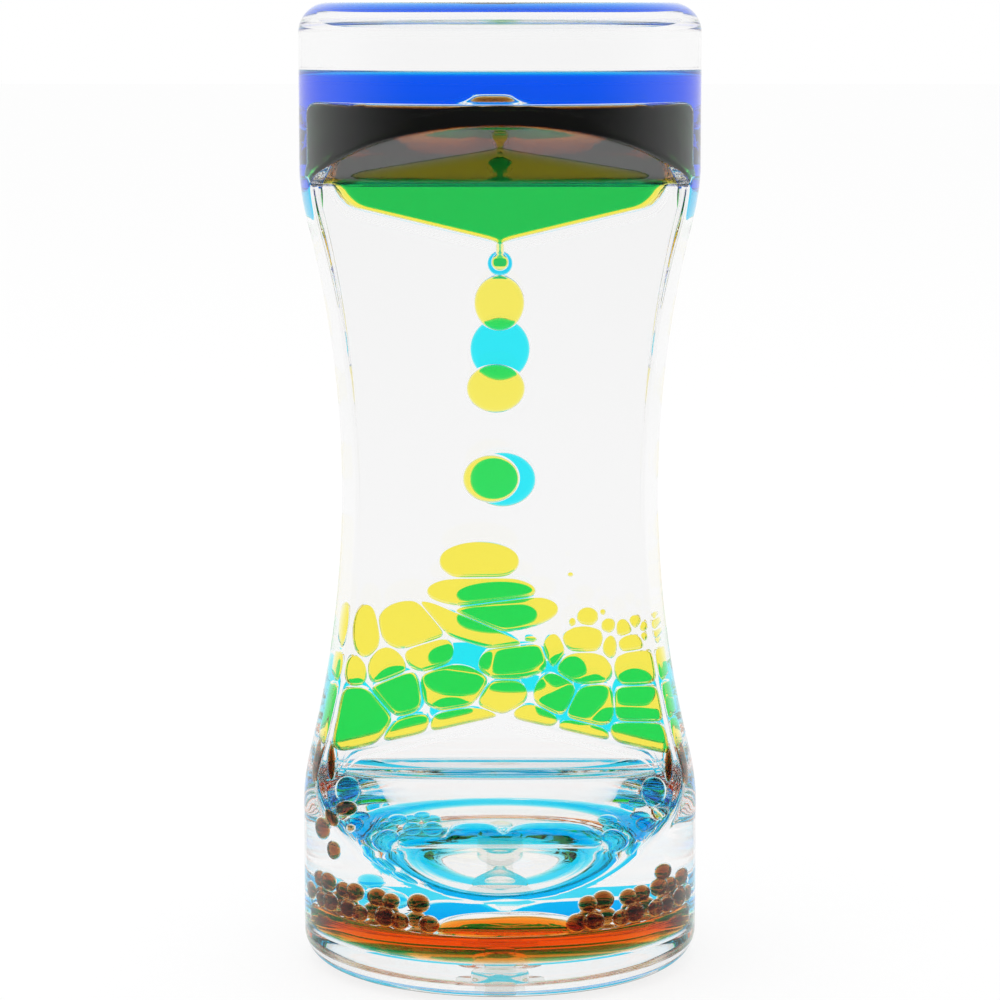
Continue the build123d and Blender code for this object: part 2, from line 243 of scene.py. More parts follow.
def clear_stuff(name, tint, index, ripple_scale, ripple_height, haze_amount):
    """Clear solid or liquid surface with a slow ripple."""
    material = bpy.data.materials.new(name)
    material.use_nodes = True
    tree = material.node_tree
    tree.nodes.clear()
    link = tree.links.new
    glass = add(tree, "ShaderNodeBsdfGlass")
    glass.inputs["Color"].default_value = (*tint, 1.0)
    glass.inputs["IOR"].default_value = index
    surface = tree.nodes.new("ShaderNodeGroup")
    surface.node_tree = ripple
    surface.inputs["Scale"].default_value = ripple_scale
    surface.inputs["Haze"].default_value = haze_amount
    bump = add(tree, "ShaderNodeBump", Strength=1.0, Distance=ripple_height)
    link(surface.outputs["Height"], bump.inputs["Height"])
    link(bump.outputs["Normal"], glass.inputs["Normal"])
    if haze_amount:
        link(surface.outputs["Roughness"], glass.inputs["Roughness"])
    else:
        glass.inputs["Roughness"].default_value = 0.0
    end = add(tree, "ShaderNodeOutputMaterial")
    link(glass.outputs[0], end.inputs["Surface"])
    return material


def dyed_water(name, colour, density, ripple_scale, ripple_height):
    """Clear liquid that takes up part of the light on its way through."""
    material = clear_stuff(name, (1.0, 1.0, 1.0), water_in_oil, ripple_scale, ripple_height, 0.0)
    tree = material.node_tree
    dye = add(tree, "ShaderNodeVolumeAbsorption")
    dye.inputs["Color"].default_value = (*colour, 1.0)
    dye.inputs["Density"].default_value = density
    end = [node for node in tree.nodes if node.bl_idname == "ShaderNodeOutputMaterial"][0]
    tree.links.new(dye.outputs[0], end.inputs["Volume"])
    return material


acrylic = clear_stuff("polished_acrylic", (0.972, 0.972, 0.972), acrylic_in_air, 40.0, 0.00002, 0.0)
oil_wall = clear_stuff("oil_against_acrylic", (1.0, 1.0, 1.0), oil_in_acrylic, 50.0, 0.00002, 0.0)
plate_clear = clear_stuff("plate_in_oil", (1.0, 1.0, 1.0), plate_in_oil, 60.0, 0.00002, 0.0)
stopper_clear = clear_stuff("soft_stopper", (0.94, 0.94, 0.93), stopper_in_acrylic, 300.0, 0.0001, 0.15)
thin_yellow = dyed_water("thin_yellow_water", (0.998, 0.945, 0.0), 612.0, 90.0, 0.00004)
pool_yellow = dyed_water("pool_yellow_water", (0.996, 0.68, 0.0), 640.0, 60.0, 0.00003)
# Darker, browner copy of the same yellow water for beads and runoff drops: painted shade for their dark
# bodies.
shaded_yellow = dyed_water("shaded_yellow_water", (0.74, 0.45, 0.0), 1800.0, 60.0, 0.00003)
# Darker copy of the same yellow water for the upper tank: painted shade.
shaded_tank_yellow = dyed_water("shaded_tank_yellow_water", (0.79, 0.59, 0.0), 900.0, 60.0, 0.00003)
thin_blue = dyed_water("thin_blue_water", (0.0, 0.962, 1.0), 1030.0, 90.0, 0.00004)
deep_blue = dyed_water("deep_blue_water", (0.0, 0.904, 0.998), 1060.0, 60.0, 0.00003)

bonded = bpy.data.materials.new("bonded_joint")
bonded.use_nodes = True
bonded.node_tree.nodes.clear()
through = add(bonded.node_tree, "ShaderNodeBsdfTransparent")
bonded_end = add(bonded.node_tree, "ShaderNodeOutputMaterial")
bonded.node_tree.links.new(through.outputs[0], bonded_end.inputs["Surface"])
print("materials:", len(bpy.data.materials))

# %% [markdown]
# The sizes below are the object's own, in millimetres. Each piece is modelled in millimetres too, and one
# helper at the end turns it into metres, closes it, smooths it, and lets it ride on its body.

# %% Sizes and the finishing helper
height = 140.0
cap = 5.0
drum = 29.0
waist = 23.1
rim = 4.3
side_end = 27.2
ramp_end = 26.2
face_end = 16.0
flat = 10.0
slope = (ramp_end - face_end) / (drum - flat)
shoulder_drop = 3.0 * sqrt(1 + slope * slope)
tank = 26.2
slot_front = 7.0
slot_back = 3.0
slot_mid = 5.0
sides = (("front", -1), ("back", 1))


def finish_piece(name, bm, materials, body, nodes, sharp=40.0):
    """Turns a bmesh in millimetres into a piece that rides on a body and stands for CAD nodes."""
    bmesh.ops.remove_doubles(bm, verts=bm.verts[:], dist=0.002)
    bmesh.ops.dissolve_degenerate(bm, edges=bm.edges[:], dist=0.001)
    bmesh.ops.recalc_face_normals(bm, faces=bm.faces[:])
    bmesh.ops.scale(bm, verts=bm.verts[:], vec=(0.001, 0.001, 0.001))
    mesh = bpy.data.meshes.new(name)
    bm.to_mesh(mesh)
    bm.free()
    for material in materials:
        mesh.materials.append(material)
    mesh.shade_smooth()
    mesh.set_sharp_from_angle(angle=radians(sharp))
    piece = bpy.data.objects.new(name, mesh)
    scene.collection.objects.link(piece)
    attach(piece, body)
    if nodes:
        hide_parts(*nodes)
    print(name, len(mesh.polygons), "faces")


def gather(bm, other):
    """Adds a second bmesh to the first and frees it."""
    part = bpy.data.meshes.new("part")
    other.to_mesh(part)
    other.free()
    bm.from_mesh(part)
    bpy.data.meshes.remove(part)


def ease_min(a, b, soft):
    """The smaller of two numbers, with a rounded change from one to the other."""
    near = max(soft - abs(a - b), 0.0) / soft
    return min(a, b) - near * near * soft / 4


# %% [markdown]
# The body started as a round hourglass. Turning gives the drums and the curved waist in one go: a wire is
# bent to the profile and spun about the upright axis. The flat faces and the sloping shoulders come next,
# as if the turned blank were pressed between shaped plates: each point that stands outside a plate is
# brought back to it, with a slightly rounded edge.

# %% Clear body
def spun_blank(points, steps):
    """Spins a wire of (radius, height) points round the upright axis."""
    bm = bmesh.new()
    wire = [bm.verts.new((r, 0.0, z)) for r, z in points]
    edges = [bm.edges.new(pair) for pair in zip(wire, wire[1:])]
    bmesh.ops.spin(bm, geom=wire + edges, cent=(0, 0, 0), axis=(0, 0, 1), angle=2 * pi,
                   steps=steps, use_merge=True, use_duplicate=False)
    bmesh.ops.remove_doubles(bm, verts=bm.verts[:], dist=0.0005)
    return bm


def spread(start, end, count):
    """Evenly spaced numbers from start up to, but without, end."""
    return [start + (end - start) * k / count for k in range(count)]


half_chord = height / 2 - side_end
waist_sag = drum - waist
waist_arc = (half_chord**2 + waist_sag**2) / (2 * waist_sag)


def turned_radius(z):
    """Radius of the turned blank at a height."""
    off = abs(z - height / 2)
    bend = waist + waist_arc - sqrt(max(waist_arc**2 - off**2, 1.0))
    return ease_min(drum, bend, 1.2)


# Distance from the nearer end where a shoulder starts, its slope, and how softly it leaves the flat face.
lower_shoulder = (27.0, 0.53, 6.5)
upper_shoulder = (25.2, 0.45, 1.8)
edge_soft = 0.8
lower_edge_soft = 3.4
softer_below = 26.0
softer_over = 6.0


def plate_gap(z):
    """Half the distance between the shaped plates that press the flats and shoulders."""
    low = min(z, height - z)
    start, steep, soft = lower_shoulder if z < height / 2 else upper_shoulder
    ramp = flat + (start - low) / steep
    return drum - ease_min(drum - flat, drum - ramp, soft)


heights = spread(cap, 14.0, 10) + spread(14.0, 30.0, 48) + spread(30.0, 110.0, 80)
heights += spread(110.0, 126.0, 48) + spread(126.0, height - cap, 10) + [height - cap]
bm = spun_blank([(0.0, cap)] + [(turned_radius(z), z) for z in heights] + [(0.0, height - cap)], 320)
for v in bm.verts:
    side = abs(v.co.y)
    end = max(0.0, min(1.0, (softer_below - v.co.z) / softer_over))
    pressed = ease_min(side, plate_gap(v.co.z), edge_soft + lower_edge_soft * end)
    if side > 0.001:
        v.co.y *= pressed / side
for face in bm.faces:
    face.material_index = 1 if abs(face.normal.z) > 0.999 else 0
finish_piece("clear_body_block", bm, [acrylic, bonded], "vessel", ["clear_body"])


# %% [markdown]
# The caps are thick discs with a well rounded rim, bonded to the drums with clear cement. A bonded joint
# lets light straight through, so the two faces that meet there get a plain see-through material.

# %% Caps
def cap_disc(name, node, upper):
    """Disc with a rounded outer rim, for either end."""
    bm = bmesh.new()
    wire = [bm.verts.new(co) for co in ((0, 0, 0), (drum, 0, 0), (drum, 0, cap), (0, 0, cap))]
    for pair in zip(wire, wire[1:]):
        bm.edges.new(pair)
    bmesh.ops.bevel(bm, geom=[wire[1]], offset=rim, offset_type="OFFSET", segments=14, profile=0.5,
                    affect="VERTICES", material=-1)
    bmesh.ops.spin(bm, geom=bm.verts[:] + bm.edges[:], cent=(0, 0, 0), axis=(0, 0, 1), angle=2 * pi,
                   steps=192, use_merge=True, use_duplicate=False)
    bmesh.ops.remove_doubles(bm, verts=bm.verts[:], dist=0.0005)
    bmesh.ops.recalc_face_normals(bm, faces=bm.faces[:])
    for face in bm.faces:
        face.material_index = 1 if face.normal.z > 0.999 else 0
    if upper:
        bmesh.ops.scale(bm, verts=bm.verts[:], vec=(1, 1, -1))
        bmesh.ops.translate(bm, verts=bm.verts[:], vec=(0, 0, height))
    finish_piece(name, bm, [acrylic, bonded], "vessel", [node])


cap_disc("bottom_cap_disc", "bottom_cap", False)
cap_disc("top_cap_disc", "top_cap", True)


# %% [markdown]
# Each cell is one hollow filled with clear oil: a half-round tank at either end and a flat slot between
# them. The same turning and pressing makes it. Its wall has hardly any contrast with the acrylic, so only
# thin lines of it show.

# %% Oil cells
slot_mouth = 26.2
slot_waist = 20.8
slot_arc_sag = slot_mouth - slot_waist
slot_arc = (half_chord**2 + slot_arc_sag**2) / (2 * slot_arc_sag)
flare = half_chord / sqrt(slot_arc**2 - half_chord**2)


def slot_half(z):
    """Half width of the slot at a height, flaring on into the tanks."""
    off = abs(z - height / 2)
    if off > half_chord:
        return slot_mouth + flare * (off - half_chord)
    return slot_waist + slot_arc - sqrt(slot_arc**2 - off**2)


def cell_front(z):
    """How far the cell reaches from the middle plane at a height."""
    low = min(z, height - z)
    ramp = flat + (ramp_end - shoulder_drop - low) / slope
    return max(slot_front, ramp)


def press_into_cell(bm, sign):
    """Brings every point back inside the walls of the cell."""
    corner = sqrt(tank**2 - slot_back**2)
    for v in bm.verts:
        limit = min(slot_half(v.co.z), corner)
        v.co.x = max(-limit, min(limit, v.co.x))
        v.co.y = max(slot_back, min(cell_front(v.co.z), -v.co.y)) * sign


oil_low = cap + 0.05
oil_high = height - cap - 0.05
cell_heights = spread(oil_low, 14.0, 8) + spread(14.0, 30.0, 40) + spread(30.0, 110.0, 60)
cell_heights += spread(110.0, 126.0, 40) + spread(126.0, oil_high, 8) + [oil_high]
for side, sign in sides:
    bm = spun_blank([(0.0, oil_low)] + [(tank, z) for z in cell_heights] + [(0.0, oil_high)], 256)
    press_into_cell(bm, sign)
    finish_piece(side + "_oil_cell", bm, [oil_wall], "vessel", [side + "_clear_oil"], sharp=30.0)

# %% [markdown]
# The V plates hang across the ends of the slots, with upturned ends and a drip hole at the point. They are
# clear and sit in oil, so they show as fine lines. Each half is drawn as an outline, with a curved lip, and
# pushed through the slot's depth.

# %% V plates
upper_point = 105.8
roof = 37.0
plate_thick = 1.3
plate_near = 3.06
plate_far = 6.94
roof_width = 0.97
hole_half = 1.0
hole_rise = 0.24
lip_curve = [(21.0, 5.0), (22.0, 5.6), (22.9, 6.5), (23.6, 7.6), (24.1, 8.8), (24.3, 9.6)]


def prism(outline, near, far):
    """Pushes an outline in x and z through a depth in y."""
    bm = bmesh.new()
    face = bm.faces.new([bm.verts.new((x, near, z)) for x, z in outline])
    pushed = bmesh.ops.extrude_face_region(bm, geom=[face])["geom"]
    moved = [v for v in pushed if isinstance(v, bmesh.types.BMVert)]
    bmesh.ops.translate(bm, verts=moved, vec=(0, far - near, 0))
    bmesh.ops.recalc_face_normals(bm, faces=bm.faces[:])
    return bm


half_plate = [(hole_half, hole_rise)] + lip_curve[:4] + [(24.35, 7.5), (23.5, 5.6), (22.4, 4.4), (21.3, 3.75)]
half_plate += [(hole_half, hole_rise - plate_thick)]
for end in ("top", "bottom"):
    for side, sign in sides:
        bm = bmesh.new()
        for hand in (1, -1):
            outline = [(hand * x, upper_point + z) for x, z in half_plate]
            gather(bm, prism(outline, sign * plate_near, sign * plate_far))
        if end == "bottom":
            bmesh.ops.scale(bm, verts=bm.verts[:], vec=(roof_width, 1, -1))
            bmesh.ops.translate(bm, verts=bm.verts[:], vec=(0, 0, upper_point + roof - plate_thick))
        name = side + "_" + end
        finish_piece(name + "_v_plate", bm, [plate_clear], "vessel", [name + "_funnel"],
                     sharp=25.0)

# %% [markdown]
# Two soft stoppers close the filling holes in the underside. Each is a headed pin, turned from a short
# profile with a rounded edge.

# %% Fill stoppers
stopper_off = 13.0
stopper_profile = ((0, 0.4), (3.4, 0.4), (3.4, 2.0), (1.9, 2.0), (1.9, 4.9), (0, 4.9))
for side, sign in sides:
    bm = bmesh.new()
    wire = [bm.verts.new((r, 0, z)) for r, z in stopper_profile]
    for pair in zip(wire, wire[1:]):
        bm.edges.new(pair)
    bmesh.ops.bevel(bm, geom=[wire[1], wire[2], wire[4]], offset=0.3, offset_type="OFFSET", segments=3,
                    profile=0.5, affect="VERTICES", material=-1)
    bmesh.ops.spin(bm, geom=bm.verts[:] + bm.edges[:], cent=(0, 0, 0), axis=(0, 0, 1), angle=2 * pi,
                   steps=48, use_merge=True, use_duplicate=False)
    bmesh.ops.translate(bm, verts=bm.verts[:], vec=(0, sign * stopper_off, 0))
    finish_piece(side + "_stopper", bm, [stopper_clear], "vessel", [side + "_fill_plug"])

# %% [markdown]
# Oil wets the plastic and water doesn't, so the coloured water keeps a thin film of oil all round and draws
# its edges round like a drop. The liquid that still waits at the top fills the upper tank to its level,
# narrows into the V plate and ends in a drop that forms under the drip hole. It is turned and pressed like
# its cell, but against a smaller shape that is then swollen again, which rounds every corner. The yellow
# charge is two pieces: the water in the tank gets a darker copy of the same yellow, painted shade, and the
# funnel keeps the thin yellow.

# %% Upper charges
film = 0.08
blank = 36.0
neck_half = 0.58
bud_depth = 1.7
tank_corner = 3.4
bud_corner = 0.5
top_round = 1.8
yellow_level = 126.1
yellow_split = 116.4
blue_level = 130.4


def settle(bm, sign, near, far, width, corner, low, high, low_edge, high_edge):
    """Gives a round blank the rounded outline of its tank at every height."""
    for v in bm.verts:
        z = v.co.z
        share = sqrt(v.co.x**2 + v.co.y**2) / blank
        tuck = film
        over = z - (high - high_edge)
        under = (low + low_edge) - z
        if over > 0:
            tuck += high_edge - sqrt(max(high_edge**2 - over**2, 0.0))
        if under > 0:
            tuck += low_edge - sqrt(max(low_edge**2 - under**2, 0.0))
        front = far(z) - tuck
        back = min(near(z) + tuck, front - 0.02)
        half = max(width(z) - tuck, 0.02)
        middle = (front + back) / 2
        if share < 0.001:
            v.co.x, v.co.y = 0.0, middle * sign
            continue
        c = min(corner(z), (front - back) / 2, half) * 0.98
        x, u = v.co.x / share, -v.co.y / share + middle
        core_x = max(c - half, min(half - c, x))
        core_u = max(back + c, min(front - c, u))
        reach = tank - tuck - c
        if core_x * core_x + core_u * core_u > reach * reach:
            turn = reach / sqrt(core_x * core_x + core_u * core_u)
            core_x, core_u = core_x * turn, core_u * turn
            if core_u < back + c:
                core_u = back + c
                core_x = sqrt(max(reach * reach - core_u * core_u, 0.0)) * (1 if x > 0 else -1)
        gap = sqrt((x - core_x) ** 2 + (u - core_u) ** 2)
        x = core_x + (x - core_x) * c / gap
        u = core_u + (u - core_u) * c / gap
        v.co.x, v.co.y = x * share, (middle + (u - middle) * share) * sign


def charge_half(z):
    """Half width of the liquid over the V plate."""
    rise = z - upper_point - 0.05
    if rise > lip_curve[-1][1]:
        return slot_half(z)
    points = [(0.0, 0.0)] + lip_curve
    for (x1, z1), (x2, z2) in zip(points, points[1:]):
        if rise <= z2:
            return max(0.0, x1 + (x2 - x1) * (rise - z1) / (z2 - z1))
    return points[-1][0]


def upper_charge(name, nodes, sign, level, swell, bud, water, start=0.0, stop=200.0):
    """Liquid in one upper tank between two heights, with the neck and the bud under its drip hole."""
    low = upper_point + 0.05
    neck = low - plate_thick - 0.25
    centre = neck - sqrt(bud**2 / 4 - 0.25)

    def stem(z):
        """Radius of the neck and the bud, or nothing higher up."""
        if z > low + 0.5:
            return 0.0
        return sqrt(max(bud**2 / 4 - (z - centre) ** 2, 0.0001)) if z < neck else neck_half

    def half(z):
        return max(stem(z) + film, charge_half(z))

    def near(z):
        return slot_mid - min(bud_depth, 1.5 * stem(z)) - film if z < low + 0.12 else slot_back

    def far(z):
        return slot_mid + min(bud_depth, 1.5 * stem(z)) + film if z < low + 0.12 else cell_front(z)

    bottom = centre - bud / 2
    rings = [centre - bud / 2 * cos(radians(a)) for a in range(6, 150, 6)]
    rings = [z for z in rings if z < neck] + spread(neck + 0.02, low + 0.11, 8)
    rings += spread(low + 0.13, low + 9.5, 40) + spread(low + 9.62, level - 2.0, 24)
    rings += spread(level - 2.0, level, 14)
    rings = [z for z in rings if start < z < stop]
    base = [(blank * k / 20, start) for k in range(21)] if start else [(0.0, bottom)]
    end = min(level, stop)
    top = [(blank * (1 - k / 44), end) for k in range(45)]
    bm = spun_blank(base + [(blank, z) for z in rings] + top, 192)
    tops = [v for v in bm.verts if v.co.z > level - 0.001]

    def corner(z):
        return tank_corner if z > neck else bud_corner

    settle(bm, sign, near, far, half, corner, bottom - 9, level, 0.5, top_round)
    for v in tops:
        x, u = v.co.x + 0.9, abs(v.co.y) - 8.0
        v.co.z += swell / (1.0 + (x / 3.0) ** 6 + (u / 11.0) ** 24)
    finish_piece(name, bm, [water], "vessel", nodes, sharp=50.0)


upper_charge("yellow_funnel_charge", ["yellow_top_charge"], -1, yellow_level, 0.0, 2.5, thin_yellow,
             stop=yellow_split)
# The tank part takes the darker copy of the yellow water, which is painted shade.
upper_charge("yellow_tank_charge", ["yellow_top_charge"], -1, yellow_level, 1.3, 2.5, shaded_tank_yellow,
             start=yellow_split + 0.02)
upper_charge("blue_upper_charge", ["blue_top_charge"], 1, blue_level, 0.0, 3.7, deep_blue)


# %% [markdown]
# A sinking drop is squeezed between the front and back of its slot into a thick round disc. It starts as a
# ball, is stretched to its width and height, and is then pressed between two plates with a soft edge.

# %% Sinking drops
ball_depth = 3.9
squeezed_depth = 1.65
squeeze_soft = 0.8


def sinking_drop(name, node, body, sign, x, z, half_width, half_height, water):
    """Ball pressed into a disc between the faces of the slot."""
    bm = bmesh.new()
    bmesh.ops.create_uvsphere(bm, u_segments=72, v_segments=48, radius=1.0)
    bmesh.ops.rotate(bm, verts=bm.verts[:], cent=(0, 0, 0), matrix=Matrix.Rotation(radians(90), 3, "X"))
    bmesh.ops.scale(bm, verts=bm.verts[:], vec=(half_width, ball_depth, half_height))
    for v in bm.verts:
        depth = abs(v.co.y)
        if depth > 0.001:
            v.co.y *= ease_min(depth, squeezed_depth, squeeze_soft) / depth
    bmesh.ops.translate(bm, verts=bm.verts[:], vec=(x, sign * slot_mid, z))
    finish_piece(name, bm, [water], body, [node])


yellow_drops = (("upper", -0.1, 97.3, 3.75, 4.1), ("middle", -0.6, 85.0, 4.35, 3.6),
                ("lower", -1.3, 71.9, 4.2, 3.55))
for which, x, z, half_width, half_height in yellow_drops:
    sinking_drop("yellow_" + which + "_drop", "yellow_drop_" + which, "yellow_" + which, -1, x, z,
                 half_width, half_height, thin_yellow)
blue_drops = (("upper", 0.0, 90.0, 4.5, 4.7), ("lower", 0.4, 70.9, 4.95, 4.1))
for which, x, z, half_width, half_height in blue_drops:
    sinking_drop("blue_" + which + "_drop", "blue_drop_" + which, "blue_" + which, 1, x, z,
                 half_width, half_height, thin_blue)

# %% [markdown]
# Fallen drops pile up on the lower roof without merging, as a flat foam. Each cell starts as a stretched
# disc. A cut half way to every neighbour leaves the cell's own part, its corners are rounded, and it is
# pushed through the slot's depth with soft edges. A thin film of oil stays between the cells. Each row of
# the lists gives a cell's middle in x and z, its half width and half height, and its tilt in degrees.

# %% Foam heaps
yellow_cells = [
    (-3.0, 59.9, 5.5, 2.6, 0), (-2.7, 55.5, 7.5, 2.1, 0), (0.6, 52.2, 7.4, 2.4, 6),
    (-5.2, 50.5, 9.3, 2.0, -20), (-12.5, 50.1, 5.0, 3.6, -12), (-19.4, 49.4, 1.9, 3.9, 0),
    (-20.9, 43.7, 1.7, 2.3, 0), (-16.6, 44.3, 2.9, 2.8, 0), (-10.3, 46.4, 3.5, 2.4, 12),
    (-6.7, 41.2, 5.1, 3.2, 0), (0.0, 39.8, 3.9, 2.4, 15), (-5.6, 36.6, 5.9, 1.7, 13),
    (-15.0, 40.6, 3.7, 3.6, 0), (-20.7, 36.8, 5.9, 4.8, 0), (-13.4, 35.2, 3.9, 1.9, 13),
    (2.2, 45.3, 5.1, 2.6, 8), (7.8, 46.8, 1.6, 2.3, 0), (12.1, 48.4, 3.0, 2.0, 0),
    (12.7, 51.8, 1.5, 1.3, 0), (15.8, 50.4, 1.1, 1.1, 0), (16.0, 47.4, 1.2, 1.8, 0),
    (18.9, 47.9, 2.0, 1.4, 0), (17.9, 50.1, 1.3, 1.3, 0), (12.2, 44.1, 4.2, 2.6, 0),
    (19.8, 44.3, 3.3, 2.8, 0), (8.4, 40.2, 3.3, 3.2, 10), (5.7, 36.9, 3.7, 1.6, -13),
    (13.1, 38.4, 4.3, 3.6, 0), (20.1, 38.6, 4.2, 3.2, 0), (20.9, 33.9, 5.6, 2.9, -13),
    (12.0, 35.0, 4.7, 1.8, -13), (10.5, 51.0, 0.5, 0.6, 0), (19.6, 51.1, 0.9, 0.9, 0),
    (20.8, 50.4, 0.6, 0.7, 0), (20.9, 48.9, 0.5, 0.6, 0), (14.9, 52.5, 0.4, 0.4, 0),
    (10.2, 58.0, 0.4, 0.3, 0), (4.4, 48.5, 0.9, 0.4, 0),
]
blue_cells = [
    (-0.7, 54.0, 5.5, 1.8, 3), (-0.4, 50.6, 5.7, 2.2, 3), (-5.3, 44.3, 5.1, 2.3, -3),
    (2.4, 44.1, 4.5, 2.5, 12), (-6.7, 41.0, 4.8, 2.2, -5), (3.3, 40.7, 5.3, 1.3, 4),
    (8.9, 42.0, 3.8, 2.7, 20), (-15.0, 39.1, 3.8, 3.8, 0), (-20.6, 35.6, 6.0, 5.2, 0),
    (-13.6, 34.0, 4.4, 2.0, 13), (-7.2, 36.3, 3.2, 2.0, 0), (10.7, 38.2, 5.3, 3.7, 25),
    (19.8, 39.7, 3.1, 2.9, 0), (20.2, 33.8, 6.5, 3.6, -13),
]
roof_slope = 0.232
overgrown_w = 1.09
overgrown_h = 1.12
half_film = 0.11
roof_film = 0.12
wall_film = 0.2
foam_near = 3.12
foam_depth = 3.76
edge_round = 0.4
smoothing_rounds = 7


def keep_inside(bm, co, outward):
    """Cuts a flat shape along a line and drops the outer part."""
    bmesh.ops.bisect_plane(bm, geom=bm.verts[:] + bm.edges[:] + bm.faces[:], dist=0.0001,
                           plane_co=co, plane_no=outward, clear_outer=True)


def cell_pull(cell, way):
    """How far a tilted oval reaches along a direction, and which way its edge faces there."""
    turn = radians(cell[4])
    along = way.x * cos(turn) + way.z * sin(turn)
    across = way.z * cos(turn) - way.x * sin(turn)
    reach = 1.0 / sqrt((along / cell[2]) ** 2 + (across / cell[3]) ** 2)
    along, across = along / cell[2] ** 2, across / cell[3] ** 2
    edge = Vector((along * cos(turn) - across * sin(turn), 0, along * sin(turn) + across * cos(turn)))
    return reach, edge.normalized()


def foam_cell(cells, index, sign):
    """One cell of a heap as a bmesh of its own."""
    x, z, half_w, half_h, tilt = cells[index]
    middle = Vector((x, 0, z))
    bm = bmesh.new()
    bmesh.ops.create_circle(bm, cap_ends=True, segments=40, radius=1.0)
    bmesh.ops.rotate(bm, verts=bm.verts[:], cent=(0, 0, 0), matrix=Matrix.Rotation(radians(90), 3, "X"))
    bmesh.ops.scale(bm, verts=bm.verts[:], vec=(half_w * overgrown_w, 1.0, half_h * overgrown_h))
    bmesh.ops.rotate(bm, verts=bm.verts[:], cent=(0, 0, 0), matrix=Matrix.Rotation(radians(-tilt), 3, "Y"))
    bmesh.ops.translate(bm, verts=bm.verts[:], vec=middle)
    for k, other in enumerate(cells):
        way = Vector((other[0] - x, 0, other[1] - z))
        gap = way.length
        if k == index or gap > half_w + half_h + other[2] + other[3]:
            continue
        way.normalize()
        own_reach, own_edge = cell_pull(cells[index], way)
        other_reach, other_edge = cell_pull(other, way)
        border = gap * own_reach / (own_reach + other_reach) - half_film
        keep_inside(bm, middle + way * border, own_edge + other_edge)
    hand = 1 if x > 0 else -1
    keep_inside(bm, (0, 0, roof + roof_film), (-hand * roof_slope, 0, -1))
    wall = slot_half(z) - wall_film
    lean = (slot_half(z - 1) - slot_half(z + 1)) / 2
    keep_inside(bm, (hand * wall, 0, z), (hand, 0, lean))
    if not bm.faces:
        return bm
    bmesh.ops.remove_doubles(bm, verts=bm.verts[:], dist=0.02)
    step = min(0.5, 0.3 * half_h)
    for edge in bm.edges[:]:
        parts = int(edge.calc_length() / step)
        if parts:
            bmesh.ops.subdivide_edges(bm, edges=[edge], cuts=parts)
    for _ in range(smoothing_rounds):
        bmesh.ops.smooth_vert(bm, verts=bm.verts[:], factor=0.5, use_axis_x=True, use_axis_z=True)
    bmesh.ops.translate(bm, verts=bm.verts[:], vec=(0, sign * foam_near, 0))
    pushed = bmesh.ops.extrude_face_region(bm, geom=bm.faces[:])["geom"]
    moved = [v for v in pushed if isinstance(v, bmesh.types.BMVert)]
    bmesh.ops.translate(bm, verts=moved, vec=(0, sign * foam_depth, 0))
    bmesh.ops.recalc_face_normals(bm, faces=bm.faces[:])
    ends = [e for e in bm.edges if abs(e.verts[0].co.y - e.verts[1].co.y) < 0.01]
    bmesh.ops.bevel(bm, geom=ends, offset=min(edge_round, 0.5 * half_h), offset_type="OFFSET", segments=3,
                    profile=0.5, affect="EDGES", clamp_overlap=True, material=-1)
    return bm


def foam_heap(name, node, cells, sign, water):
    """All cells of one heap in one piece."""
    bm = bmesh.new()
    for index in range(len(cells)):
        gather(bm, foam_cell(cells, index, sign))
    finish_piece(name, bm, [water], "vessel", [node], sharp=60.0)


foam_heap("yellow_foam", "yellow_heap", yellow_cells, -1, thin_yellow)
foam_heap("blue_foam", "blue_heap", blue_cells, 1, thin_blue)


# %% [markdown]
# What has run off the roofs collects at the bottom. The water doesn't wet the floor of the tank, so it
# lies there as thick puddles with round edges. The yellow one is a crescent along the front wall with a
# broad low dome. The blue one lies behind the middle wall with two domes, and as a thin crescent along
# the back wall.

# %% Pools
pool_corner = 2.6
foot_round = 1.2
brow_round = 1.4
crescent_half = 19.0
dome_power = 2.6
ripple_rise = 0.05


def puddle(sign, near, far, half, level, hollow, domes):
    """Puddle on the lower cap; hollow bends its inner side to a crescent; domes rise from its top."""
    low = cap + 0.13
    rings = spread(low, low + foot_round, 8) + spread(low + foot_round, level - brow_round, 5)
    rings += spread(level - brow_round, level, 12)
    top = [(blank * (1 - k / 54), level) for k in range(1, 55)]
    base = [(blank * k / 12, low) for k in range(12)]
    bm = spun_blank(base + [(blank, z) for z in rings] + top, 160)
    tops = [v for v in bm.verts if v.co.z > level - 0.001]
    settle(bm, sign, lambda z: near, lambda z: far, lambda z: half, lambda z: pool_corner, low, level,
           foot_round, brow_round)
    for v in bm.verts:
        wall = sqrt(max(tank**2 - v.co.x**2, 0.0))
        bend = hollow * sqrt(max(1.0 - (v.co.x / crescent_half) ** 2, 0.0))
        if bend > 0:
            u = wall - (wall - abs(v.co.y)) * (wall - near - bend) / (wall - near)
            v.co.y = u * sign
    for v in tops:
        lift = 0.0
        for x, u, half_x, half_u, rise in domes:
            away = abs((v.co.x - x) / half_x) ** dome_power + abs((abs(v.co.y) - u) / half_u) ** dome_power
            lift = max(lift, rise * max(0.0, 1.0 - away) ** 0.5)
        v.co.z += lift + ripple_rise * sin(0.5 * v.co.x) * sin(1.7 * v.co.y)
    return bm


bm = puddle(-1, slot_back, 40.0, 30.0, 9.1, 10.5, [(1.2, 19.6, 9.8, 4.4, 2.5)])
finish_piece("yellow_lower_pool", bm, [pool_yellow], "vessel", ["yellow_pool"], sharp=50.0)
bm = puddle(1, slot_back, 10.0, 15.6, 6.9, 0.0, [(-3.8, 5.8, 4.2, 3.2, 2.2), (7.6, 5.8, 7.0, 3.2, 2.3)])
gather(bm, puddle(1, slot_back, 40.0, 30.0, 7.9, 21.0, []))
finish_piece("blue_lower_pool", bm, [deep_blue], "vessel", ["blue_pool"], sharp=50.0)


